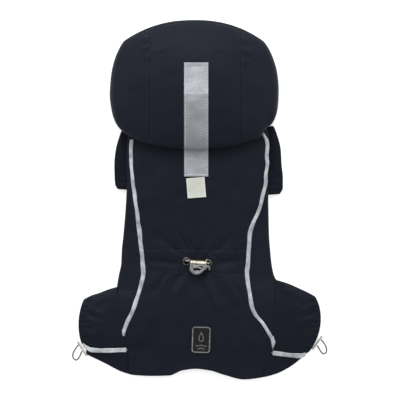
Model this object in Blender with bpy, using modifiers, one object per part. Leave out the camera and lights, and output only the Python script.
"""Dog raincoat with a hood, laid flat with its back up: cloth panels, tapes, cord lock and leg cords."""

import math
from collections import namedtuple

import bmesh
import bpy
from mathutils import Vector

# Every length below is in millimetres. MM turns it into Blender's metres.
MM = 0.001

# Cloth
CLOTH = 1.2             # thickness of every cloth wall
SEAM_GAP = 0.3          # distance between two pieces that are sewn or laid together
HALF_GAP = SEAM_GAP / 2
FOLD_BEND = 2.2         # outer radius of a folded cloth edge
SWELL_POWER = 2.6       # how quickly a panel rises from its edge to its crown

# The coat in plan: +Y points to the head, +X to the right, the floor is at z = 0.
# A row across the body: the back panel's seams, the body's side edges (side fold, then the
# leg seam, then the rump seam), the lift of the side folds over the sleeves and the crown.
BodyRow = namedtuple("BodyRow", "y seam_left seam_right edge_left edge_right lift crown")
BODY = (
    BodyRow(92, -54.0, 54.0, -60.0, 60.0, 2.0, 12.0),
    BodyRow(84, -58.0, 57.0, -65.0, 65.0, 3.6, 12.8),
    BodyRow(76, -63.2, 61.0, -70.4, 69.6, 4.9, 13.6),
    BodyRow(70, -66.7, 66.4, -73.0, 72.2, 4.9, 14.2),
    BodyRow(62, -69.6, 69.9, -74.3, 73.4, 4.9, 14.7),
    BodyRow(50, -70.8, 70.9, -74.8, 73.3, 4.9, 15.0),
    BodyRow(32, -69.8, 70.0, -74.9, 72.6, 4.9, 15.0),
    BodyRow(16, -68.2, 68.6, -75.1, 72.2, 4.9, 14.7),
    BodyRow(3, -66.6, 65.8, -75.7, 72.1, 4.9, 14.3),
    BodyRow(-12, -64.2, 61.4, -76.7, 72.4, 2.6, 13.6),
    BodyRow(-25, -62.8, 55.4, -77.8, 72.7, 0.6, 13.0),
    BodyRow(-38, -61.4, 52.6, -79.0, 73.1, 0.0, 12.4),
    BodyRow(-52, -59.6, 51.5, -80.5, 74.2, 0.0, 11.8),
    BodyRow(-65, -58.4, 50.7, -81.0, 75.5, 0.0, 11.2),
    BodyRow(-77, -58.1, 50.0, -83.4, 77.8, 0.0, 11.9),
    BodyRow(-85, -59.4, 50.5, -84.8, 80.9, 0.0, 12.8),
    BodyRow(-95, -62.2, 52.4, -85.9, 79.3, 0.0, 13.6),
    BodyRow(-107, -66.1, 54.2, -83.7, 78.2, 0.0, 14.0),
    BodyRow(-118, -70.5, 58.4, -82.7, 77.2, 0.0, 13.8),
    BodyRow(-128, -75.0, 66.4, -81.6, 77.0, 0.0, 13.2),
    BodyRow(-138, -78.3, 72.7, -79.6, 77.5, 0.0, 12.4),
    BodyRow(-148, -76.3, 77.3, -76.3, 78.2, 0.0, 11.2),
    BodyRow(-158, -74.2, 75.8, -74.2, 75.8, 0.0, 9.8),
    BodyRow(-168, -73.4, 71.8, -73.4, 71.8, 0.0, 8.6),
    BodyRow(-178, -73.5, 67.7, -73.5, 67.7, 0.0, 7.6),
    BodyRow(-188, -73.6, 64.2, -73.6, 64.2, 0.0, 6.8),
)
PIPING_TIP = {"left": -140.5, "right": -152.5}
SIDE_TIP = {"left": -134.0, "right": -141.0}    # where the side panel ends in a point
NECK_TOP = 70.0         # back panel's neck seam on the centre line
NECK_DROP = 8.0         # how much further the neck seam runs at the side
NECK_HALF = 66.0
THROAT_RISE = 12.0      # how far the throat edge bows towards the head on the centre line
BELLY_END = -103.0
BELLY_HALF = 45.0       # belly seam's distance from the centre line
ARMHOLE = ((52.0, 50.0), (68.0, 76.0))    # (distance from the centre line, y) of its two ends
SLEEVE_SLOPE = (46.4, 52.2)     # where the underside climbs from the floor onto a sleeve
LEG_BLEND = 2.5         # length over which the side fold runs out at a leg
RUMP_DROP = 2.2         # how far the rump's edge sinks from the leg seam to the hem
RUMP_RUN = 26.0

# The rear hem: its y along x.
HemPoint = namedtuple("HemPoint", "x y")
HEM = (
    HemPoint(-117.0, -160.2),
    HemPoint(-96.7, -170.0),
    HemPoint(-80.0, -178.4),
    HemPoint(-68.0, -181.6),
    HemPoint(-50.0, -182.5),
    HemPoint(-31.0, -182.0),
    HemPoint(-17.0, -176.6),
    HemPoint(-3.3, -175.0),
    HemPoint(12.0, -176.9),
    HemPoint(26.0, -181.3),
    HemPoint(47.0, -186.2),
    HemPoint(65.5, -184.2),
    HemPoint(81.0, -180.2),
    HemPoint(93.0, -174.2),
    HemPoint(102.0, -168.0),
    HemPoint(110.7, -159.8),
)

HEM_OUTER = {"left": -117.4, "right": 108.0}    # x of the rear hem pieces' outer ends
HEM_EDGE = 1.8          # height of the hem's upper face over the floor

# The rear legs: a row from the leg seam (reach 0) to the cuff (reach 1).
LegRow = namedtuple("LegRow", "reach y_top y_foot crown")
LEGS = {
    "left": (
        LegRow(0.0, -93.1, -155.2, 10.4),
        LegRow(0.28, -93.0, -155.7, 9.8),
        LegRow(0.53, -94.2, -156.0, 9.0),
        LegRow(0.78, -96.6, -155.4, 8.2),
        LegRow(1.0, -101.6, -149.6, 7.4),
    ),
    "right": (
        LegRow(0.0, -84.2, -158.4, 10.4),
        LegRow(0.30, -86.6, -159.8, 9.8),
        LegRow(0.55, -90.6, -161.0, 9.0),
        LegRow(0.80, -94.6, -161.4, 8.2),
        LegRow(1.0, -98.2, -158.4, 7.4),
    ),
}
# The cuff's line: x at its top end, x at its foot and how far it bows out between them.
CuffLine = namedtuple("CuffLine", "x_top x_foot bow")
CUFFS = {
    "left": CuffLine(-119.6, -121.6, 4.6),
    "right": CuffLine(120.4, 113.4, 9.4),
}
CUFF_BOW_POWER = 0.85

# The front sleeves: a row from the armhole to the cuff, outer fold and inner fold in plan.
SleeveRow = namedtuple("SleeveRow", "x_out y_out x_in y_in")
SLEEVES = {
    "left": (
        SleeveRow(-67.9, 74.7, -54.2, 52.4),
        SleeveRow(-79.0, 73.8, -56.4, 48.6),
        SleeveRow(-83.6, 64.6, -57.2, 43.0),
        SleeveRow(-87.0, 51.0, -57.6, 36.6),
        SleeveRow(-88.2, 38.0, -58.0, 29.4),
        SleeveRow(-88.0, 26.0, -58.4, 21.8),
        SleeveRow(-87.4, 17.0, -58.8, 15.0),
        SleeveRow(-84.6, 11.8, -59.0, 10.0),
    ),
    "right": (
        SleeveRow(67.9, 74.7, 54.2, 52.4),
        SleeveRow(77.6, 75.0, 56.4, 48.0),
        SleeveRow(82.4, 66.0, 57.2, 41.6),
        SleeveRow(85.2, 52.6, 57.6, 34.4),
        SleeveRow(86.0, 38.0, 58.0, 26.6),
        SleeveRow(87.4, 24.0, 58.4, 18.4),
        SleeveRow(87.4, 13.4, 58.8, 10.6),
        SleeveRow(84.0, 6.6, 59.0, 5.0),
    ),
}
SLEEVE_BEND = 2.3       # half the height of a flattened sleeve

# The hood: a row from the neck seam (under the roll) over the dome to the brim.
# y_mid and z_mid: centre line; x_left, x_right, y_side: side folds; bend and base: radius of
# the side fold and its height over the floor; inset, y_edge: the face opening's edge, measured
# in from the fold; bow: 0.5 for a round row, 1 for a shallow one.
HoodRow = namedtuple(
    "HoodRow", "y_mid z_mid x_left x_right y_side bend base inset y_edge bow")
HOOD = (
    HoodRow(70.0, 14.8, -74.4, 71.5, 76.6, 2.6, 4.8, 44.0, 88.6, 0.62),
    HoodRow(62.5, 15.6, -79.2, 74.0, 78.8, 3.2, 4.0, 43.0, 92.0, 0.62),
    HoodRow(56.4, 17.4, -84.4, 76.2, 81.8, 4.0, 2.6, 43.0, 95.8, 0.60),
    HoodRow(53.0, 22.4, -88.0, 78.2, 86.6, 5.6, 1.2, 42.0, 100.0, 0.54),
    HoodRow(57.0, 29.4, -91.0, 81.6, 95.0, 7.2, 0.0, 37.0, 106.0, 0.58),
    HoodRow(72.0, 34.6, -92.8, 82.8, 108.0, 7.6, 0.0, 31.0, 116.0, 0.70),
    HoodRow(97.0, 37.4, -92.3, 82.7, 122.0, 6.8, 0.0, 26.0, 128.0, 0.90),
    HoodRow(125.0, 36.4, -90.6, 80.8, 136.0, 6.0, 0.0, 22.0, 140.0, 1.00),
    HoodRow(150.0, 31.4, -87.4, 77.2, 148.0, 5.5, 0.0, 19.0, 151.0, 1.00),
    HoodRow(170.0, 22.4, -83.6, 73.2, 157.0, 4.5, 0.0, 16.0, 158.4, 1.00),
    HoodRow(182.0, 13.4, -80.6, 69.8, 162.6, 3.5, 0.0, 12.0, 163.0, 1.00),
    HoodRow(187.7, 6.0, -78.4, 67.2, 165.8, 2.4, 0.0, 8.0, 165.8, 1.00),
)
# The seam below pulls the hood's right lower corner up, and the cloth beside it sags
CornerPull = namedtuple("CornerPull", "x reach shift")
HOOD_CORNER = (CornerPull(71.0, 4.0, 2.9), CornerPull(61.5, 5.0, -1.6))
HOOD_MID = -4.5         # the hood's centre line
HOOD_SEAM = {"left": -51.0, "right": 43.2}
HOOD_PLAN_POWER = 2.3
HOOD_SWELL_POWER = 2.2
HOOD_CLEAR = 0.5        # the roll's distance over the back panel
ROLL_ROWS = 4.0         # the hood's rows up to this one belong to the roll on the back
ROLL_STEP = 1.2         # each row of the roll lies this much higher than the one before

# Trims, each laid on its panel
TRIM_GAP = 0.3
TAPE = {"left": -15.4, "right": 9.6, "top": 143.5, "foot": 24.8}
TAPE_THICK = 0.6
TAPE_UNDER_ROLL = 57.6
PIPING_TOP = {"left": 66.0, "right": 71.0}
PIPING_HALF = 2.3
PIPING_THICK = 0.8
STRIP_HALF = 2.4
STRIP_THICK = 0.8
STRIP_OUTER = {"left": -120.6, "right": 110.6}  # x of the leg strips' outer ends
LABEL = {"x": -3.0, "y": 13.3, "width": 19.0, "height": 20.8, "turn": 4.6, "thick": 0.7}
BADGE = {"x": 2.2, "y": -144.6, "width": 19.4, "height": 27.6, "turn": -2.0, "thick": 1.2}

PATCH_SPARE = 0.12      # room for the cloth's curve between the rows of a patch

# Waist cord, its eyelets and its lock
EYELETS = {"left": (-12.8, -63.2), "right": (9.2, -65.2)}
EYELET_RADIUS = 4.3
EYELET_HOLE = 2.7
EYELET_HEIGHT = 0.9
EYELET_LIFT = 0.45      # the ring lies this far above the cloth at its centre
BARREL_X = (-9.2, 7.4)
BARREL_Y = -65.8
BARREL_RADIUS = 5.2
BARREL_EDGE = 0.8
BARREL_CLEAR = 1.9      # between the barrel and the highest cloth below it
TAB_LEFT = -9.5
TAB_RIGHT = 8.6
TAB_HEAD = 1.5          # the tab's plane touches the barrel at 0, and runs this far past it
TAB_SHOULDER = -2.4
TAB_LIP = (-2.1, 7.4, 7.6)      # centre, half width and depth of the tab's round end
TAB_SLOT = (-1.9, -4.2, 4.1, 1.4)
TAB_HOLE = (3.1, 0.0, 0.9, 0.9)
TAB_THICK = 1.5
TAB_SINK = 0.4          # how far the tab reaches into the barrel
TAB_SLOPE = 24.0        # degrees that the tab falls towards the tail
CORD_RADIUS = 1.1
CORD_RISES = {"left": (-13.4, -62.4), "right": (10.1, -65.0)}
CORD_BEND = 4.0         # radius of the cord's bends inside the coat
CORD_FACE_GAP = 0.5     # a cord's end stops this far from the barrel's face
CORD_OVER = {"left": 3.6, "right": 1.8}     # radius of its bends over the eyelets
CORD_START = 50.0       # the hidden run starts this far from the centre line
CORD_CLEAR = 0.6        # the hidden run lies this far below the cloth

# Leg cords
BARS = {"left": ((-126.4, -146.8), (-116.6, -161.9)), "right": ((128.0, -141.2), (117.9, -155.0))}
BAR_RADIUS = 1.2
BAR_HEIGHT = 3.7        # the bar's axis over the floor
LOOP_RADIUS = 0.8
LOOP_REST = 0.9         # the loop's axis where it lies on the floor
# A leg loop's points: x and y from the bar out and back, and its height over the floor.
LoopPoint = namedtuple("LoopPoint", "x y z")
LOOPS = {
    "left": (
        LoopPoint(-126.2, -151.0, BAR_HEIGHT),
        LoopPoint(-128.9, -154.8, 2.4),
        LoopPoint(-131.2, -159.4, 1.2),
        LoopPoint(-131.0, -163.8, LOOP_REST),
        LoopPoint(-127.6, -166.0, LOOP_REST),
        LoopPoint(-124.5, -162.6, 1.6),
        LoopPoint(-122.0, -157.4, BAR_HEIGHT),
    ),
    "right": (
        LoopPoint(127.7, -145.4, BAR_HEIGHT),
        LoopPoint(130.3, -148.8, 2.4),
        LoopPoint(132.6, -153.2, 1.2),
        LoopPoint(132.6, -157.6, LOOP_REST),
        LoopPoint(129.4, -159.6, LOOP_REST),
        LoopPoint(126.4, -156.4, 1.6),
        LoopPoint(123.4, -151.6, BAR_HEIGHT),
    ),
}


def smooth(rows, key, column, value):
    """Read one column of a table at a value of its key, along a smooth curve without overshoot."""
    points = sorted((getattr(row, key), getattr(row, column)) for row in rows)
    if value <= points[0][0]:
        return points[0][1]
    if value >= points[-1][0]:
        return points[-1][1]
    steps = []
    for (x0, y0), (x1, y1) in zip(points, points[1:]):
        steps.append((y1 - y0) / (x1 - x0))
    index = max(i for i in range(len(points) - 1) if points[i][0] <= value)

    def slope(i):
        if i == 0:
            return steps[0]
        if i == len(points) - 1:
            return steps[-1]
        before, after = steps[i - 1], steps[i]
        if before * after <= 0:
            return 0.0
        return 2 * before * after / (before + after)

    x0, y0 = points[index]
    x1, y1 = points[index + 1]
    span = x1 - x0
    t = (value - x0) / span
    h00 = (1 + 2 * t) * (1 - t) ** 2
    h10 = t * (1 - t) ** 2
    h01 = t * t * (3 - 2 * t)
    h11 = t * t * (t - 1)
    return h00 * y0 + h10 * span * slope(index) + h01 * y1 + h11 * span * slope(index + 1)


def ease(t):
    """Smooth step from 0 to 1."""
    t = min(1.0, max(0.0, t))
    return t * t * (3 - 2 * t)


def steps(start, end, count):
    """Evenly spaced values, both ends included."""
    return [start + (end - start) * i / count for i in range(count + 1)]


def swell(t, power):
    """Rise from 0 at an edge to 1 at the crown."""
    t = min(1.0, max(0.0, t))
    return 1 - (1 - t) ** power


def sign_of(side):
    return -1 if side == "left" else 1


# ---------------------------------------------------------------- body surface


def body(column, y):
    return smooth(BODY, "y", column, y)


def leg_row(side, column, reach):
    return smooth(LEGS[side], "reach", column, reach)


def cuff_x(side, share):
    """x of a rear leg's cuff, share of the way from its upper fold to its foot fold."""
    cuff = CUFFS[side]
    bow = cuff.bow * max(0.0, 4 * share * (1 - share)) ** CUFF_BOW_POWER
    return cuff.x_top + (cuff.x_foot - cuff.x_top) * share + sign_of(side) * bow


def bend_at(side, y):
    """Radius of the side fold. It runs out where the leg is sewn on."""
    leg_top = LEGS[side][0].y_top
    return FOLD_BEND * ease((y - leg_top + LEG_BLEND) / LEG_BLEND)


def edge_height(side, y):
    """Height of the body's outer surface along its side edge."""
    leg_top = LEGS[side][0].y_top
    leg_foot = LEGS[side][0].y_foot
    if y >= leg_top:
        return body("lift", y) + FOLD_BEND
    if y >= leg_foot:
        half = (leg_top - leg_foot) / 2
        inward = min(leg_top - y, y - leg_foot)
        rise = (LEGS[side][0].crown - 2 * FOLD_BEND) * swell(inward / half, SWELL_POWER)
        start = FOLD_BEND * ease((leg_top - y) / LEG_BLEND)
        return FOLD_BEND + start + rise
    return 2 * FOLD_BEND - RUMP_DROP * ease((leg_foot - y) / RUMP_RUN)


def top_height(x, y):
    """Height of the body's upper surface."""
    side = "left" if x < 0 else "right"
    edge = abs(body("edge_" + side, y))
    inward = max(0.0, edge - abs(x))
    bend = bend_at(side, y)
    base = edge_height(side, y)
    turn = 0.0
    if bend > 0.01:
        turn = math.sqrt(max(0.0, bend ** 2 - max(0.0, bend - inward) ** 2))
    rise = (body("crown", y) - base - bend) * swell(inward / edge, SWELL_POWER)
    return base + turn + rise + crease_height(x, y)


# The largest folds of the back: soft ridges and troughs that run out from the cord lock.
Crease = namedtuple("Crease", "x0 y0 x1 y1 width height")
CREASES = (
    Crease(-18.0, -56.0, -46.0, -34.0, 7.0, -1.2),
    Crease(-14.0, -52.0, -22.0, -26.0, 6.0, -1.0),
    Crease(14.0, -55.0, 36.0, -36.0, 7.0, -1.1),
    Crease(-20.0, -66.0, -52.0, -62.0, 7.0, -1.3),
    Crease(18.0, -66.0, 46.0, -62.0, 7.0, -1.3),
    Crease(6.0, -78.0, 18.0, -112.0, 7.0, 1.4),
    Crease(24.0, -76.0, 42.0, -106.0, 6.5, 1.2),
    Crease(-12.0, -78.0, -26.0, -104.0, 7.0, 1.2),
    Crease(-34.0, -76.0, -48.0, -98.0, 6.5, -1.0),
)


def crease_height(x, y):
    total = 0.0
    for crease in CREASES:
        run = Vector((crease.x1 - crease.x0, crease.y1 - crease.y0))
        away = Vector((x - crease.x0, y - crease.y0))
        along = away.dot(run) / run.length_squared
        if along < -0.2 or along > 1.2:
            continue
        across = abs(away.x * run.y - away.y * run.x) / run.length
        fade = ease((along + 0.2) / 0.4) * ease((1.2 - along) / 0.6)
        total += crease.height * fade * math.exp(-(across / (0.5 * crease.width)) ** 2)
    return total


def under_height(x, y):
    """Height of the body's underside, lifted where it lies on a sleeve."""
    start, end = SLEEVE_SLOPE
    return body("lift", y) * ease((abs(x) - start) / (end - start))


def under_edge(side, y):
    """Distance from the centre line to the side panel's edge on the underside."""
    (x_in, y_in), (x_out, y_out) = ARMHOLE
    fold = abs(body("edge_" + side, y)) - FOLD_BEND - 2.5
    if y >= y_in:
        reach = x_in + (x_out - x_in) * min(1.0, (y - y_in) / (y_out - y_in))
        return min(reach, fold)
    if y > y_in - 10.0:
        return BELLY_HALF + (x_in - BELLY_HALF) * ease((y - y_in + 10.0) / 10.0)
    if y < -95.0:
        return min(BELLY_HALF + 24.0 * ease((-95.0 - y) / 55.0), fold)
    return BELLY_HALF


def side_point(side, y, along):
    """Point of the side panel. along runs over the top to 0 at the fold and on underneath."""
    bend = max(0.2, bend_at(side, y))
    edge = abs(body("edge_" + side, y))
    quarter = bend * math.pi / 2
    if along >= quarter:
        x = edge - bend - (along - quarter)
    elif along >= -quarter:
        x = edge - bend * (1 - math.cos(along / bend))
    else:
        x = edge - bend - (-quarter - along)
    if along >= 0:
        z = top_height(sign_of(side) * x, y)
    elif along >= -quarter:
        z = body("lift", y) + bend + bend * math.sin(along / bend)
    else:
        z = under_height(x, y)
    return Vector((sign_of(side) * x, y, z))


def along_at(side, y, x, under=False):
    """Inverse of side_point: the distance along the section at a distance x from the centre."""
    bend = max(0.2, bend_at(side, y))
    inward = abs(body("edge_" + side, y)) - abs(x)
    quarter = bend * math.pi / 2
    if inward >= bend:
        along = quarter + inward - bend
    else:
        along = bend * math.acos(1 - max(0.0, inward) / bend)
    return -along if under else along


def hem_y(x):
    return smooth(HEM, "x", "y", x)


def neck_y(x):
    return NECK_TOP + NECK_DROP * (x / NECK_HALF) ** 2


# ---------------------------------------------------------------- hood surface


def hood(column, row):
    """One column of the hood's table, read smoothly between its rows."""
    index = min(len(HOOD) - 2, max(0, int(row)))
    t = row - index

    def at(i):
        return getattr(HOOD[min(len(HOOD) - 1, max(0, i))], column)

    p0, p1, p2, p3 = at(index - 1), at(index), at(index + 1), at(index + 2)
    if index == 0:
        p0 = 2 * p1 - p2
    if index == len(HOOD) - 2:
        p3 = 2 * p2 - p1
    a = 2 * p1
    b = p2 - p0
    c = 2 * p0 - 5 * p1 + 4 * p2 - p3
    d = -p0 + 3 * p1 - 3 * p2 + p3
    return 0.5 * (a + b * t + c * t ** 2 + d * t ** 3)


def ground_height(x, y):
    """What the hood lies on: the body's back, the sleeves beside it, then the floor."""
    side = "left" if x < 0 else "right"
    edge = abs(body("edge_" + side, y))
    sleeve = 2 * SLEEVE_BEND * ease((80.0 - y) / 3.0) * ease((92.0 - abs(x)) / 3.0)
    if abs(x) > edge + 2.0 or y > neck_y(x) + 6.0:
        return sleeve
    inside = max(-edge + 3.2, min(edge - 3.2, x))
    return max(sleeve, top_height(inside, min(y, 82.0)))


def corner_shift(row, x):
    """How far the hood's right lower corner is drawn along y at x."""
    fade = 1 - ease((row - 4.0) / 3.0)
    return fade * sum(p.shift * math.exp(-((x - p.x) / p.reach) ** 2) for p in HOOD_CORNER)


def hood_top(side, row, x):
    """Point of the hood's upper sheet, or of the roll that lies on the back."""
    half = abs(hood("x_" + side, row) - HOOD_MID)
    share = min(1.0, abs(x - HOOD_MID) / half)
    y_side = hood("y_side", row)
    plan = max(0.0, 1 - share ** HOOD_PLAN_POWER) ** hood("bow", row)
    y = y_side + (hood("y_mid", row) - y_side) * plan + corner_shift(row, x)
    bend = hood("bend", row)
    base = hood("base", row) + bend
    inward = half * (1 - share)
    turn = math.sqrt(max(0.0, bend ** 2 - max(0.0, bend - inward) ** 2))
    rise = (hood("z_mid", row) - base - bend) * swell(1 - share, HOOD_SWELL_POWER)
    z = base + turn + rise
    if row < ROLL_ROWS:
        z = max(z, ground_height(x, y) + HOOD_CLEAR + ROLL_STEP * min(row, 3.0))
    return Vector((x, y, z))


def hood_point(side, row, along):
    """Point of a hood side panel: along is 0 at the fold, positive on top, negative below."""
    fold = hood("x_" + side, row)
    bend = hood("bend", row)
    quarter = bend * math.pi / 2
    outward = sign_of(side)
    if along >= quarter:
        return hood_top(side, row, fold - outward * (bend + along - quarter))
    if along >= 0:
        return hood_top(side, row, fold - outward * bend * (1 - math.cos(along / bend)))
    y_side = hood("y_side", row)
    y_edge = hood("y_edge", row)
    inset = hood("inset", row)
    base = hood("base", row)
    if along >= -quarter:
        x = bend * (1 - math.cos(along / bend))
        z = base + bend + bend * math.sin(along / bend)
    else:
        x = bend - quarter - along
        z = base * (1 - ease((x - bend) / 14.0))
    x_place = fold - outward * x
    shift = corner_shift(row, x_place) * (1 - ease(x / 10.0))
    y = y_side + (y_edge - y_side) * ease(x / inset) + shift
    return Vector((x_place, y, z))


def hood_along(side, row, x):
    """Distance along a hood row from its fold to a place on top."""
    bend = hood("bend", row)
    inward = abs(hood("x_" + side, row) - x)
    return bend * math.pi / 2 + inward - bend


# ---------------------------------------------------------------- building

MATERIALS = {}


def clear_scene():
    for item in list(bpy.data.objects):
        bpy.data.objects.remove(item, do_unlink=True)


def material(name, color, roughness, metallic=0.0):
    if name not in MATERIALS:
        made = bpy.data.materials.new(name)
        made.use_nodes = True
        shader = made.node_tree.nodes["Principled BSDF"]
        shader.inputs["Base Color"].default_value = (*color, 1.0)
        shader.inputs["Roughness"].default_value = roughness
        shader.inputs["Metallic"].default_value = metallic
        MATERIALS[name] = made
    return MATERIALS[name]


def navy_cloth():
    return material("navy_cloth", (0.016, 0.018, 0.028), 0.6)


def reflective():
    return material("reflective_silver", (0.42, 0.44, 0.46), 0.45, 0.2)


def bright_metal():
    return material("bright_metal", (0.72, 0.70, 0.66), 0.25, 1.0)


def silver_cord():
    return material("silver_cord", (0.45, 0.45, 0.43), 0.6)


def add_object(name, data, finish, collection):
    made = bpy.data.objects.new(name, data)
    data.materials.append(finish)
    collection.objects.link(made)
    return made


def grid_mesh(name, grid, closed=False, turned=False):
    """Mesh of an open surface through rows of points. None leaves a cell out."""
    mesh = bpy.data.meshes.new(name)
    made = bmesh.new()
    verts = [[made.verts.new(p * MM) if p else None for p in row] for row in grid]
    for low, high in zip(verts, verts[1:]):
        count = len(low)
        for i in range(count if closed else count - 1):
            j = (i + 1) % count
            corners = [low[i], low[j], high[j], high[i]]
            if None in corners:
                continue
            if turned:
                corners.reverse()
            made.faces.new(corners)
    loose = [v for v in made.verts if not v.link_faces]
    bmesh.ops.delete(made, geom=loose, context="VERTS")
    made.to_mesh(mesh)
    made.free()
    mesh.shade_smooth()
    return mesh


def wall(name, grid, finish, collection, thick=CLOTH, closed=False, turned=False):
    """Cloth wall: an open outer surface given its thickness inwards."""
    made = add_object(name, grid_mesh(name, grid, closed, turned), finish, collection)
    shell = made.modifiers.new("cloth", "SOLIDIFY")
    shell.thickness = thick * MM
    shell.offset = -1.0
    shell.use_even_offset = False
    return made


def normal_of(surface, u, v, step=0.2):
    """Unit normal of a surface point function, worked out by small differences."""
    across = surface(u + step, v) - surface(u - step, v)
    onward = surface(u, v + step) - surface(u, v - step)
    return across.cross(onward).normalized()


# ---------------------------------------------------------------- body panels


def back_point(x, y):
    return Vector((x, y, top_height(x, y)))


def back_rows():
    """Rows of the back panel from the hem to the neck, closer together round the waist."""
    return (
        [0.0, 0.02, 0.05, 0.09]
        + steps(0.125, 0.30, 5)
        + steps(0.325, 0.56, 9)
        + steps(0.60, 0.94, 8)
        + [0.975, 1.0]
    )


def back_columns():
    """Shares across the back panel, closer together beside the seams."""
    edge = [0.0, 0.005, 0.02, 0.055]
    return edge + steps(0.115, 0.885, 13) + [1 - t for t in reversed(edge)]


def back_place(share, lateral):
    """Place in plan at a share of the way from hem to neck and from left to right seam."""
    x = 0.0
    for _ in range(8):
        y = hem_y(x) + (neck_y(x) - hem_y(x)) * share
        left = body("seam_left", y) + HALF_GAP
        right = body("seam_right", y) - HALF_GAP
        x = left + (right - left) * lateral
    return x, y


def make_back(collection):
    grid = []
    for share in back_rows():
        grid.append([back_point(*back_place(share, lateral)) for lateral in back_columns()])
    return wall("back_panel", grid, navy_cloth(), collection)


def seam_rows(side):
    """y of the back panel's rows at its seam, from the neck to the hem."""
    lateral = 0.0 if side == "left" else 1.0
    return [back_place(share, lateral)[1] for share in reversed(back_rows())]


def make_side(side, collection):
    leg_top = LEGS[side][0].y_top
    tip = SIDE_TIP[side]
    rows = [y for y in seam_rows(side) if y > leg_top + 4.5] + [leg_top + 3.0]
    lobes = [leg_top - 0.4]
    lobes += [y for y in seam_rows(side) if tip + 2.0 < y < leg_top - 2.0] + [tip]
    grid = []
    for y in rows:
        seam = along_at(side, y, body("seam_" + side, y)) - HALF_GAP
        quarter = FOLD_BEND * math.pi / 2
        under = along_at(side, y, under_edge(side, y) + HALF_GAP, under=True)
        shoulder = min(quarter, seam - 0.3 * (seam + quarter))
        top = steps(seam, shoulder, 3)
        turn = steps(shoulder, -quarter, 5)[1:]
        flat = [-quarter + (under + quarter) * t for t in (0.2, 0.45, 0.68, 0.83, 0.93, 1.0)]
        grid.append([side_point(side, y, a) for a in top + turn + flat])
    for y in lobes:
        seam = body("seam_" + side, y)
        edge = body("edge_" + side, y)
        outward = sign_of(side)
        start = seam + outward * HALF_GAP
        end = edge - outward * HALF_GAP
        inner = outward * (under_edge(side, y) + HALF_GAP)
        row = [back_point(x, y) for x in steps(start, end, 3)]
        row += [None] * 4
        row += [Vector((x, y, 0.0)) for x in steps(end - outward * 0.2, inner, 6)]
        grid.append(row)
    turned = side == "left"
    return wall("side_panel_" + side, grid, navy_cloth(), collection, turned=not turned)


def belly_half(side, y):
    half = under_edge(side, max(y, -95.0)) - HALF_GAP
    if y < -88.0:
        half -= 9.0 * ease((-88.0 - y) / 15.0)
    return half


def make_belly(collection):
    """Belly panel, flat on the floor. Its rows meet the side panels' rows at the seams."""
    pairs = [pair for pair in zip(seam_rows("left"), seam_rows("right")) if pair[0] > -90.0]
    pairs += [(-94.0, -94.0), (-99.0, -99.0), (BELLY_END, BELLY_END)]
    grid = []
    for y_left, y_right in pairs:
        row = []
        for lateral in steps(-1.0, 1.0, 8):
            side = "left" if lateral < 0 else "right"
            y = y_left + (y_right - y_left) * (lateral + 1) / 2
            x = lateral * belly_half(side, y)
            y += THROAT_RISE * ease((y_left - 50.0) / 27.0) * (1 - lateral ** 2)
            row.append(Vector((x, y, 0.0)))
        grid.append(row)
    return wall("belly_panel", grid, navy_cloth(), collection)


# ---------------------------------------------------------------- legs, hems and sleeves


def leg_point(side, reach, around):
    """Point of a rear leg. around: 0 to 1 over the top, from the upper fold to the foot fold,
    then 1 to 2 back underneath."""
    top = leg_row(side, "y_top", reach)
    foot = leg_row(side, "y_foot", reach)
    half = (top - foot) / 2
    bend = FOLD_BEND
    over = around if around <= 1 else 2 - around
    quarter = bend * math.pi / 2
    length = quarter + half - bend
    along = length * (1 - abs(2 * over - 1))
    if along < quarter:
        inward = bend * (1 - math.cos(along / bend))
        turn = bend * math.sin(along / bend)
    else:
        inward = bend + along - quarter
        turn = bend
    if over <= 0.5:
        y = top - inward
    else:
        y = foot + inward
    share = (top - y) / (top - foot)
    crown = leg_row(side, "crown", reach)
    if around <= 1:
        z = bend + turn + (crown - 2 * bend) * swell(inward / half, SWELL_POWER)
    else:
        z = bend - turn
    root_y = LEGS[side][0].y_top + share * (LEGS[side][0].y_foot - LEGS[side][0].y_top)
    root_x = body("edge_" + side, root_y) + sign_of(side) * HALF_GAP
    return Vector((root_x + (cuff_x(side, share) - root_x) * reach, y, z))


def leg_height(side, x, y):
    """Height of a rear leg's top at a place in plan."""
    edge_top = LEGS[side][0].y_top
    edge_foot = LEGS[side][0].y_foot
    reach = 0.0
    for _ in range(5):
        top = leg_row(side, "y_top", reach)
        foot = leg_row(side, "y_foot", reach)
        share = min(1.0, max(0.0, (top - y) / (top - foot)))
        root_x = body("edge_" + side, edge_top + share * (edge_foot - edge_top))
        reach = (x - root_x) / (cuff_x(side, share) - root_x)
        reach = min(1.0, max(0.0, reach))
    half = (top - foot) / 2
    inward = half * (1 - abs(2 * share - 1))
    crown = leg_row(side, "crown", reach)
    return 2 * FOLD_BEND + (crown - 2 * FOLD_BEND) * swell(inward / half, SWELL_POWER)


LEG_AROUND = (
    [0.0, 0.018, 0.036, 0.054, 0.11, 0.2, 0.32, 0.44, 0.56, 0.68, 0.8, 0.89, 0.946, 0.964, 0.982]
    + [1.0, 1.018, 1.036, 1.054, 1.2, 1.4, 1.6, 1.8, 1.946, 1.964, 1.982]
)


def make_leg(side, collection):
    grid = []
    for reach in (0.0, 0.16, 0.34, 0.52, 0.7, 0.84, 0.93, 1.0):
        grid.append([leg_point(side, reach, a) for a in LEG_AROUND])
    return wall(
        "rear_leg_" + side, grid, navy_cloth(), collection, closed=True, turned=side == "left")


def strip_line(side, x):
    """y of the leg's foot fold at a place along the leg."""
    root = body("edge_" + side, LEGS[side][0].y_foot)
    reach = (x - root) / (CUFFS[side].x_foot - root)
    return leg_row(side, "y_foot", min(1.0, max(0.0, reach)))


def hem_height(share):
    """Height of the rear hem piece: share is 0 at the leg strip and 1 at the hem."""
    return 2 * FOLD_BEND - (2 * FOLD_BEND - HEM_EDGE) * share


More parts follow.
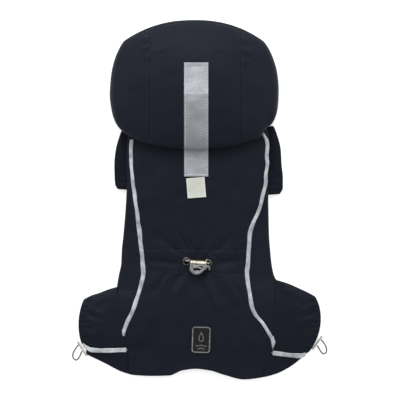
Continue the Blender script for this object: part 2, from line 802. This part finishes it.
def make_hem(side, collection):
    outward = sign_of(side)
    inner = body("edge_" + side, LEGS[side][0].y_foot) + outward * HALF_GAP
    outer = HEM_OUTER[side]
    grid = []
    for share in steps(0.0, 1.0, 4):
        row = []
        for t in steps(0.0, 1.0, 7):
            x = inner + (outer - inner) * t
            for _ in range(5):
                top = strip_line(side, x) - 3 * SEAM_GAP
                y = top + (hem_y(x) - top) * share
                x_seam = body("edge_" + side, y) + outward * HALF_GAP
                x = x_seam + (outer - x_seam) * t
            low_edge = edge_height(side, y)
            z = hem_height(share)
            z = low_edge + (z - low_edge) * ease(t * 3)
            row.append(Vector((x, y, z)))
        grid.append(row)
    return wall("rear_hem_" + side, grid, navy_cloth(), collection, turned=side == "right")


def sleeve_point(row, around):
    """Point of a flattened sleeve's section: a stadium between its inner and outer folds."""
    outer = Vector((row.x_out, row.y_out, SLEEVE_BEND))
    inner = Vector((row.x_in, row.y_in, SLEEVE_BEND))
    run = (outer - inner).normalized()
    start = inner + run * SLEEVE_BEND
    end = outer - run * SLEEVE_BEND
    up = Vector((0.0, 0.0, 1.0))
    if around < 1:
        return start.lerp(end, around) + up * SLEEVE_BEND
    if around < 2:
        angle = math.pi * (around - 1)
        return end + (up * math.cos(angle) + run * math.sin(angle)) * SLEEVE_BEND
    if around < 3:
        return end.lerp(start, around - 2) - up * SLEEVE_BEND
    angle = math.pi * (around - 3)
    return start - (up * math.cos(angle) + run * math.sin(angle)) * SLEEVE_BEND


def make_sleeve(side, collection):
    flat = [0.0, 0.35, 0.7]
    turn = steps(0.0, 1.0, 5)[:-1]
    around = flat + [1 + t for t in turn] + [2 + t for t in flat] + [3 + t for t in turn]
    grid = [[sleeve_point(row, a) for a in around] for row in SLEEVES[side]]
    return wall(
        "sleeve_" + side, grid, navy_cloth(), collection, closed=True, turned=side == "right")


# ---------------------------------------------------------------- hood panels

HOOD_ROWS = (
    [0.0, 0.6, 1.2, 1.7, 2.1, 2.5, 2.9, 3.3, 3.7, 4.1, 4.6]
    + steps(5.2, 9.0, 6)
    + [9.6, 10.1, 10.6, 11.0]
)


def make_hood_center(collection):
    grid = []
    columns = 12
    for row_at in HOOD_ROWS:
        row = []
        for i in range(columns + 1):
            left = HOOD_SEAM["left"] + HALF_GAP
            right = HOOD_SEAM["right"] - HALF_GAP
            x = left + (right - left) * i / columns
            side = "left" if x < HOOD_MID else "right"
            row.append(hood_top(side, row_at, x))
        grid.append(row)
    return wall("hood_center", grid, navy_cloth(), collection)


def make_hood_side(side, collection):
    outward = sign_of(side)
    grid = []
    for row_at in HOOD_ROWS:
        bend = hood("bend", row_at)
        quarter = bend * math.pi / 2
        seam = hood_along(side, row_at, HOOD_SEAM[side] + outward * HALF_GAP)
        under = -quarter - (hood("inset", row_at) - bend)
        top = [seam + (quarter - seam) * t for t in (0.0, 0.22, 0.45, 0.68, 0.86)]
        turn = steps(quarter, -quarter, 6)
        flat = [-quarter + (under + quarter) * t for t in (0.25, 0.5, 0.75, 1.0)]
        grid.append([hood_point(side, row_at, a) for a in top + turn + flat])
    return wall("hood_" + side, grid, navy_cloth(), collection, turned=side == "left")


# ---------------------------------------------------------------- trims


def lay_on(surface, u, v, height):
    """Point of a surface, moved out along its normal."""
    return surface(u, v) + normal_of(surface, u, v) * height


def make_tapes(collection):
    lift = TRIM_GAP + TAPE_THICK

    def over_hood(x, row_at):
        side = "left" if x < HOOD_MID else "right"
        return hood_top(side, row_at, x)

    def row_of(y):
        low, high = 3.5, 11.0
        for _ in range(30):
            mid = (low + high) / 2
            if over_hood(-3.0, mid).y < y:
                low = mid
            else:
                high = mid
        return low

    xs = steps(TAPE["left"], TAPE["right"], 3)
    rows = [2.35, 2.7, 3.0, 3.3, 3.7, 4.2] + steps(4.8, row_of(TAPE["top"]), 6)
    grid = [[lay_on(over_hood, x, r, lift + PATCH_SPARE) for x in xs] for r in rows]
    wall("reflective_tape_hood", grid, reflective(), collection, TAPE_THICK)
    rows = steps(TAPE["foot"], TAPE_UNDER_ROLL, 5)
    grid = [[lay_on(back_point, x, y, lift) for x in xs] for y in rows]
    wall("reflective_tape_back", grid, reflective(), collection, TAPE_THICK)


def make_piping(side, collection):
    """Reflective piping along the back seam, bent round the fold where it runs close to it."""
    lift = TRIM_GAP + PIPING_THICK
    grid = []
    for y in steps(PIPING_TOP[side], PIPING_TIP[side], 34):
        centre = along_at(side, y, body("seam_" + side, y))
        row = []
        for offset in (-1.0, -0.4, 0.4, 1.0):
            along = centre + offset * PIPING_HALF

            def surface(a, v):
                spot = side_point(side, v, a)
                if v < LEGS[side][0].y_top - 4.0:
                    x = sign_of(side) * (abs(body("edge_" + side, v)) - a)
                    if abs(x) > abs(body("edge_" + side, v)):
                        spot = Vector((x, v, leg_height(side, x, v)))
                return spot

            point = surface(along, y)
            normal = normal_of(surface, along, y) * sign_of(side) * -1
            row.append(point + normal * lift)
        grid.append(row)
    return wall(
        "piping_" + side, grid, reflective(), collection, PIPING_THICK, turned=side == "left")


def make_leg_strip(side, collection):
    outward = sign_of(side)
    inner = body("edge_" + side, LEGS[side][0].y_foot) + outward * 1.0
    outer = STRIP_OUTER[side]
    grid = []
    for t in steps(0.0, 1.0, 9):
        x = inner + (outer - inner) * t
        y = strip_line(side, x)
        row = []
        for offset in (1.0, 0.0, -1.0):
            z = max(2 * FOLD_BEND, leg_height(side, x, y + offset * STRIP_HALF))
            row.append(Vector((x, y + offset * STRIP_HALF, z + TRIM_GAP + 0.15 + STRIP_THICK)))
        grid.append(row)
    return wall(
        "leg_strip_" + side, grid, reflective(), collection, STRIP_THICK, turned=side == "left")


def make_patch(name, place, finish, collection, columns, rows):
    """A thin patch laid on the back, turned a little."""
    angle = math.radians(place["turn"])
    lift = TRIM_GAP + place["thick"] + PATCH_SPARE
    grid = []
    for v in steps(-0.5, 0.5, rows):
        row = []
        for u in steps(-0.5, 0.5, columns):
            dx = u * place["width"]
            dy = v * place["height"]
            x = place["x"] + dx * math.cos(angle) - dy * math.sin(angle)
            y = place["y"] + dx * math.sin(angle) + dy * math.cos(angle)
            row.append(lay_on(back_point, x, y, lift))
        grid.append(row)
    return wall(name, grid, finish, collection, place["thick"])


# ---------------------------------------------------------------- waist hardware


def turned_ring(name, profile, finish, collection, segments):
    """A turned solid about Z from a closed profile of (radius, height), as a Screw."""
    mesh = bpy.data.meshes.new(name)
    verts = [(r * MM, 0.0, h * MM) for r, h in profile]
    edges = [(i, (i + 1) % len(verts)) for i in range(len(verts))]
    mesh.from_pydata(verts, edges, [])
    made = add_object(name, mesh, finish, collection)
    screw = made.modifiers.new("turn", "SCREW")
    screw.steps = segments
    screw.render_steps = segments
    screw.use_merge_vertices = True
    screw.merge_threshold = 0.00005
    return made


def make_eyelet(side, collection):
    x, y = EYELETS[side]
    inner, outer, height = EYELET_HOLE, EYELET_RADIUS, EYELET_HEIGHT
    profile = (
        (inner, 0.0),
        (inner, height * 0.5),
        (inner + 0.4, height),
        (outer - 0.5, height),
        (outer, height * 0.5),
        (outer, 0.0),
    )
    ring = turned_ring("eyelet_" + side, profile, bright_metal(), collection, 14)
    normal = normal_of(back_point, x, y)
    ring.rotation_euler = Vector((0, 0, 1)).rotation_difference(normal).to_euler()
    ring.location = (back_point(x, y) + normal * EYELET_LIFT) * MM
    return ring


def cut_eyelet_holes(panel, cutters):
    """Holes in the back panel where the waist cord passes through."""
    for side, (x, y) in EYELETS.items():
        bpy.ops.mesh.primitive_cylinder_add(
            vertices=12, radius=EYELET_HOLE * MM, depth=8 * MM,
            location=back_point(x, y) * MM)
        cutter = bpy.context.object
        cutter.name = "eyelet_cutter_" + side
        cutter.hide_render = True
        cutter.display_type = "WIRE"
        for home in cutter.users_collection:
            home.objects.unlink(cutter)
        cutters.objects.link(cutter)
        cut = panel.modifiers.new("eyelet_hole", "BOOLEAN")
        cut.operation = "DIFFERENCE"
        cut.object = cutter
        cut.solver = "EXACT"


def tube(name, points, radius, finish, collection, sides=2, cyclic=False):
    """A round cord or rod along a route."""
    data = bpy.data.curves.new(name, "CURVE")
    data.dimensions = "3D"
    data.bevel_depth = radius * MM
    data.bevel_resolution = sides
    data.use_fill_caps = not cyclic
    line = data.splines.new("POLY")
    line.points.add(len(points) - 1)
    for spot, point in zip(line.points, points):
        spot.co = (*(point * MM), 1.0)
    line.use_cyclic_u = cyclic
    made = bpy.data.objects.new(name, data)
    data.materials.append(finish)
    collection.objects.link(made)
    return made


def smooth_route(points, spacing, closed=False):
    """Points at an even spacing along a smooth curve through a route's own points."""
    dense = []
    count = len(points)
    for i in range(count - 1):
        p1, p2 = points[i], points[i + 1]
        p0 = points[i - 1] if i > 0 else p1 * 2 - p2
        p3 = points[i + 2] if i + 2 < count else p2 * 2 - p1
        for k in range(16):
            t = k / 16
            a = p1 * 2
            b = (p2 - p0) * t
            c = (p0 * 2 - p1 * 5 + p2 * 4 - p3) * t ** 2
            d = (p1 * 3 - p0 - p2 * 3 + p3) * t ** 3
            dense.append((a + b + c + d) * 0.5)
    dense.append(points[-1].copy())
    lengths = [0.0]
    for p, q in zip(dense, dense[1:]):
        lengths.append(lengths[-1] + (q - p).length)
    number = max(2, round(lengths[-1] / spacing))
    route = []
    at = 0
    for k in range(number + 1):
        wanted = lengths[-1] * k / number
        while at < len(dense) - 2 and lengths[at + 1] < wanted:
            at += 1
        span = lengths[at + 1] - lengths[at]
        share = (wanted - lengths[at]) / span if span else 0.0
        route.append(dense[at].lerp(dense[at + 1], share))
    return route


def barrel_centre():
    x = (BARREL_X[0] + BARREL_X[1]) / 2
    highest = max(top_height(bx, BARREL_Y) for bx in steps(*BARREL_X, 6))
    return Vector((x, BARREL_Y, highest + BARREL_CLEAR + BARREL_RADIUS))


def ellipse(x, y, half_width, half_depth, start, end, count):
    """Points of an ellipse between two angles in degrees."""
    points = []
    for angle in steps(start, end, count):
        turn = math.radians(angle)
        points.append((x + half_width * math.cos(turn), y + half_depth * math.sin(turn)))
    return points


def make_tab_cutter(collection):
    """The lock's flat tab with its slot and hole, ready to be joined to the barrel."""
    lip_x, lip_half, lip_depth = TAB_LIP
    outline = [(TAB_RIGHT, TAB_SHOULDER + 0.7), (TAB_RIGHT, TAB_HEAD), (TAB_LEFT, TAB_HEAD)]
    outline += ellipse(lip_x, TAB_SHOULDER, lip_half, lip_depth, 180.0, 360.0, 14)
    slot = ellipse(*TAB_SLOT, 0.0, 330.0, 11)
    hole = ellipse(*TAB_HOLE, 0.0, 315.0, 7)
    data = bpy.data.curves.new("cord_lock_tab", "CURVE")
    data.dimensions = "2D"
    data.fill_mode = "BOTH"
    data.extrude = TAB_THICK / 2 * MM
    for points in (outline, slot, hole):
        line = data.splines.new("POLY")
        line.points.add(len(points) - 1)
        for spot, (x, y) in zip(line.points, points):
            spot.co = (x * MM, y * MM, 0.0, 1.0)
        line.use_cyclic_u = True
    curve = bpy.data.objects.new("cord_lock_tab_curve", data)
    collection.objects.link(curve)
    centre = barrel_centre()
    slope = math.radians(TAB_SLOPE)
    out = Vector((0.0, -math.sin(slope), math.cos(slope)))
    foot = centre + out * (BARREL_RADIUS + TAB_THICK / 2 - TAB_SINK)
    curve.location = Vector((0.0, foot.y, foot.z)) * MM
    curve.rotation_euler = (slope, 0.0, 0.0)
    bpy.context.view_layer.update()
    depsgraph = bpy.context.evaluated_depsgraph_get()
    mesh = bpy.data.meshes.new_from_object(curve.evaluated_get(depsgraph))
    made = bmesh.new()
    made.from_mesh(mesh)
    bmesh.ops.remove_doubles(made, verts=made.verts, dist=0.00001)
    bmesh.ops.recalc_face_normals(made, faces=made.faces)
    made.to_mesh(mesh)
    made.free()
    tab = bpy.data.objects.new("cord_lock_tab", mesh)
    tab.matrix_world = curve.matrix_world
    tab.hide_render = True
    tab.display_type = "WIRE"
    collection.objects.link(tab)
    bpy.data.objects.remove(curve, do_unlink=True)
    return tab


def make_cord_lock(collection, cutters):
    """A metal barrel lock with a flat round-ended tab on it, as one solid."""
    centre = barrel_centre()
    length = BARREL_X[1] - BARREL_X[0]
    radius = BARREL_RADIUS
    profile = (
        (0.0, -length / 2),
        (radius - BARREL_EDGE, -length / 2),
        (radius, -length / 2 + BARREL_EDGE),
        (radius, length / 2 - BARREL_EDGE),
        (radius - BARREL_EDGE, length / 2),
        (0.0, length / 2),
    )
    mesh = bpy.data.meshes.new("cord_lock")
    verts = [(r * MM, 0.0, h * MM) for r, h in reversed(profile)]
    mesh.from_pydata(verts, [(i, i + 1) for i in range(len(verts) - 1)], [])
    barrel = add_object("cord_lock", mesh, bright_metal(), collection)
    screw = barrel.modifiers.new("turn", "SCREW")
    screw.steps = 20
    screw.render_steps = 20
    screw.use_merge_vertices = True
    screw.merge_threshold = 0.00005
    barrel.rotation_euler = (0.0, math.pi / 2, 0.0)
    barrel.location = centre * MM
    join = barrel.modifiers.new("tab", "BOOLEAN")
    join.operation = "UNION"
    join.object = make_tab_cutter(cutters)
    join.solver = "EXACT"
    return barrel


def arc(centre, start, end, radius, count):
    """Points of an arc in an upright plane along x: angles in degrees, 90 is up."""
    points = []
    for angle in steps(start, end, count):
        turn = math.radians(angle)
        points.append(centre + Vector((math.cos(turn), 0.0, math.sin(turn))) * radius)
    return points


def make_waist_cord(side, collection):
    """Elastic cord: from the back seam, inside the coat, up through the eyelet, into the lock."""
    x, y = CORD_RISES[side]
    over_bend = CORD_OVER[side]
    outward = sign_of(side)
    entry = barrel_centre().z - 0.4
    below = top_height(x, y) - CLOTH - 0.6
    route = []
    for distance in (CORD_START, 42.0, 34.0, 27.0):
        z = top_height(outward * distance, y) - CLOTH - CORD_RADIUS - CORD_CLEAR
        route.append(Vector((outward * distance, y, z)))
    rising = (270, 180) if side == "right" else (270, 360)
    route += arc(Vector((x + outward * CORD_BEND, y, below)), *rising, CORD_BEND, 5)
    over = (0, 90) if side == "right" else (180, 90)
    route += arc(Vector((x - outward * over_bend, y, entry - over_bend)), *over, over_bend, 5)[:-1]
    face = BARREL_X[0] if side == "left" else BARREL_X[1]
    route.append(Vector((face + outward * CORD_FACE_GAP, y, entry)))
    return tube("waist_cord_" + side, smooth_route(route, 2.0), CORD_RADIUS, silver_cord(),
                collection)


def make_waist_cord_end(collection):
    """The cord's free end, out of the lock's right face and down onto the cloth."""
    centre = barrel_centre()
    face = BARREL_X[1] + SEAM_GAP
    places = ((0.0, -67.8), (1.1, -67.9), (2.2, -68.7), (2.9, -70.8), (2.8, -73.4))
    rest = top_height(face + 2.8, -73.4) + CORD_RADIUS + 2 * TRIM_GAP
    start = centre.z - 0.6
    heights = (start, start, start - 0.6, (start + rest) / 2 - 0.6, rest)
    points = [Vector((face + x, y, z)) for (x, y), z in zip(places, heights)]
    return tube("waist_cord_end", smooth_route(points, 1.5), CORD_RADIUS, silver_cord(),
                collection)


# ---------------------------------------------------------------- leg cords


def make_leg_cord(side, collection):
    """The bar that holds a cuff's elastic cord, and the cord's loop hanging from it."""
    bar = [Vector((x, y, BAR_HEIGHT)) for x, y in BARS[side]]
    tube("leg_cord_bar_" + side, bar, BAR_RADIUS,
         material("ivory_plastic", (0.62, 0.58, 0.48), 0.4), collection)
    loop = [Vector(point) for point in LOOPS[side]]
    tube("leg_cord_loop_" + side, smooth_route(loop, 2.4), LOOP_RADIUS,
         material("grey_cord", (0.09, 0.09, 0.09), 0.7), collection)


def main():
    clear_scene()
    coat = bpy.data.collections.new("dog_raincoat")
    bpy.context.scene.collection.children.link(coat)
    cutters = bpy.data.collections.new("cutters")
    bpy.context.scene.collection.children.link(cutters)
    cut_eyelet_holes(make_back(coat), cutters)
    make_belly(coat)
    make_hood_center(coat)
    for side in ("left", "right"):
        make_side(side, coat)
        make_leg(side, coat)
        make_hem(side, coat)
        make_sleeve(side, coat)
        make_hood_side(side, coat)
        make_piping(side, coat)
        make_leg_strip(side, coat)
        make_eyelet(side, coat)
        make_waist_cord(side, coat)
        make_leg_cord(side, coat)
    make_tapes(coat)
    make_patch("neck_label", LABEL, material("ivory_label", (0.74, 0.72, 0.62), 0.8), coat, 3, 3)
    make_patch("back_badge", BADGE, material("black_patch", (0.02, 0.02, 0.02), 0.5), coat, 3, 4)
    make_cord_lock(coat, cutters)
    make_waist_cord_end(coat)


main()
